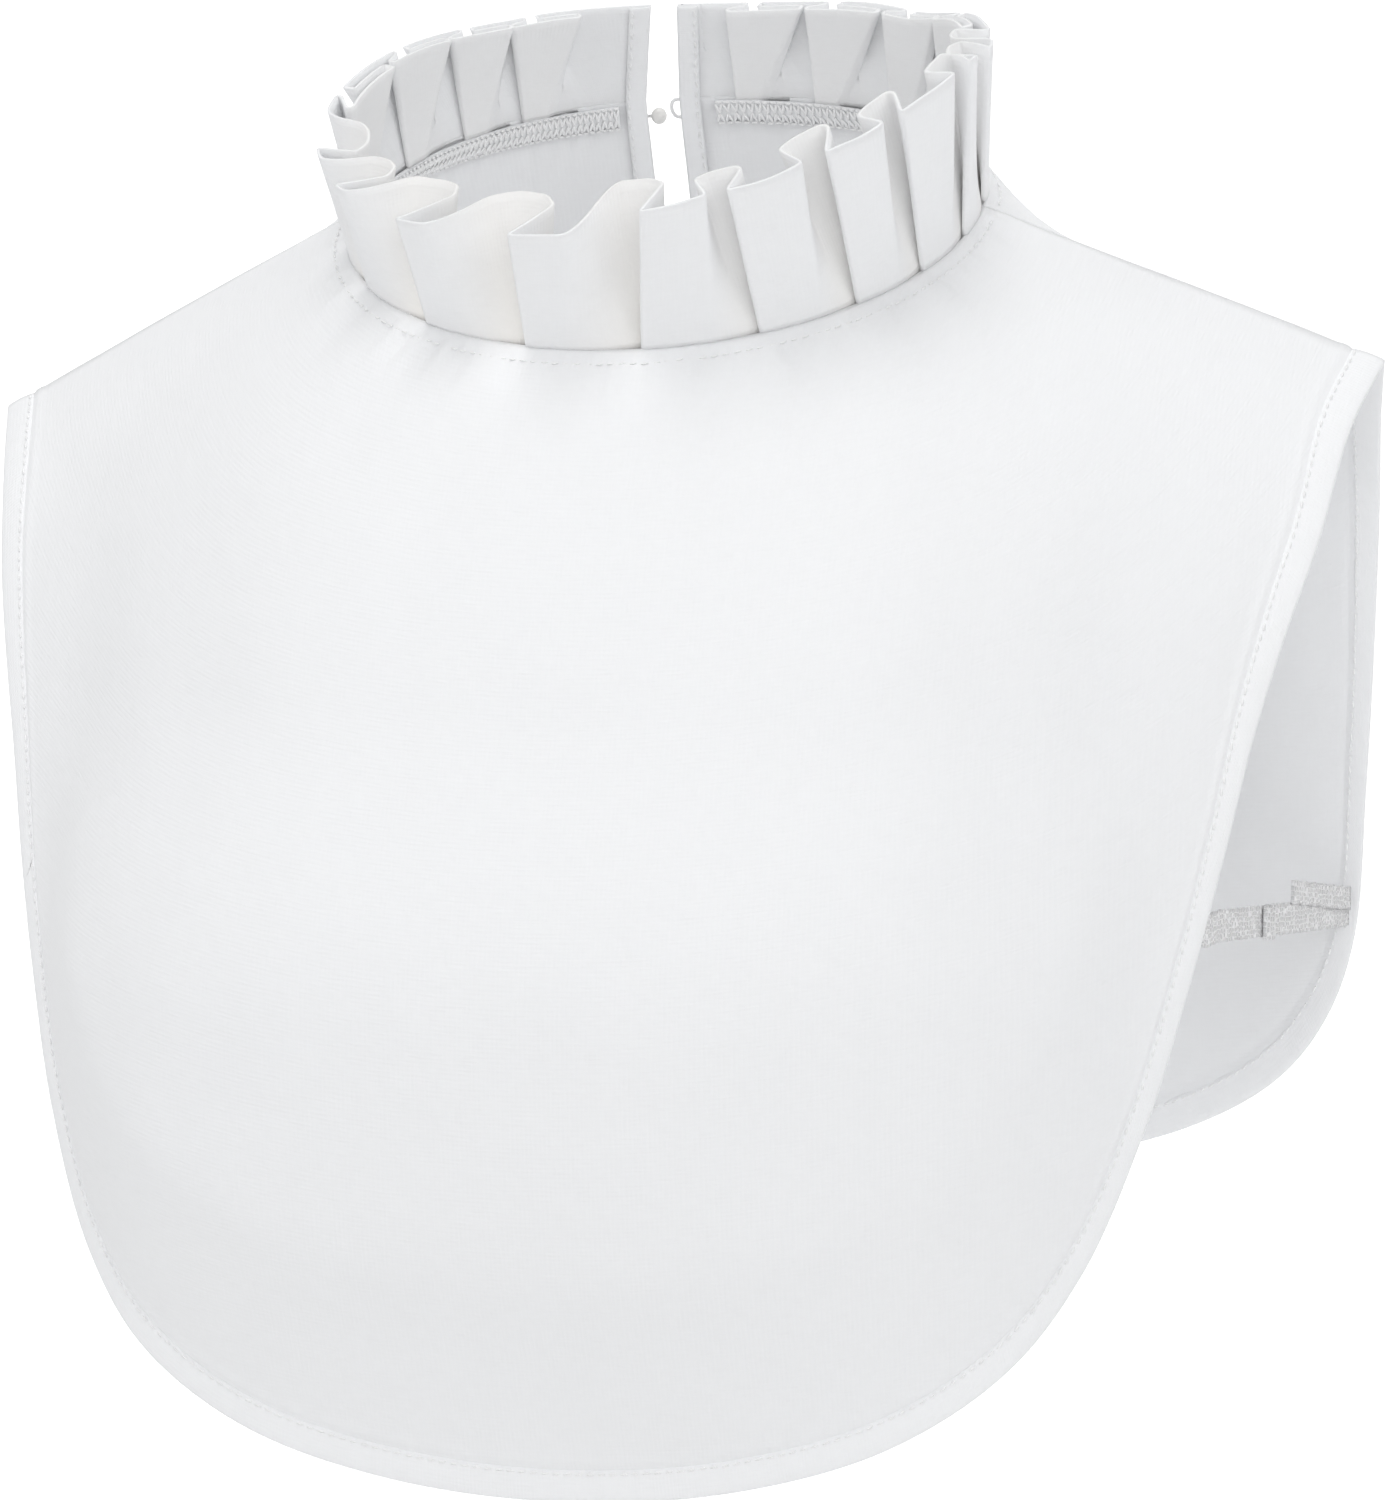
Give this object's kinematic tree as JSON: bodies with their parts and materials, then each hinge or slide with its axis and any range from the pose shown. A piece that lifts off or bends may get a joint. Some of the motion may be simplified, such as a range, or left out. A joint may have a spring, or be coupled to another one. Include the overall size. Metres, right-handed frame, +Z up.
{
  "type": "dickey",
  "caption": "Sleeveless false blouse front in fine white cotton with a pleated stand-up ruffle, a back slit and elastics under the armholes, filled out as worn.",
  "frame": {"origin": "Middle of the neck seam, where the wearer's neck and shoulders hold the garment up.", "axes": "+Z up, +Y to the garment's back, +X to the right of a viewer who faces its front. The front faces -Y."},
  "size_m": [0.3334, 0.2034, 0.3298],
  "materials": {
    "cotton": "matte",
    "elastic": "matte",
    "thread": "satin",
    "button": "gloss"
  },
  "bodies": {
    "root": {"front_panel": "cotton", "back_panel": "cotton", "binding_front": "cotton", "binding_back": "cotton", "ruffle": "cotton", "neck_tape": "thread", "placket_left": "cotton", "placket_right": "cotton", "strap_left": "elastic", "strap_right": "elastic", "strap_joint_left": "elastic", "strap_joint_right": "elastic", "strap_tab_left": "elastic", "strap_tab_right": "elastic", "button": "button", "button_loop": "thread"}
  },
  "joints": []
}
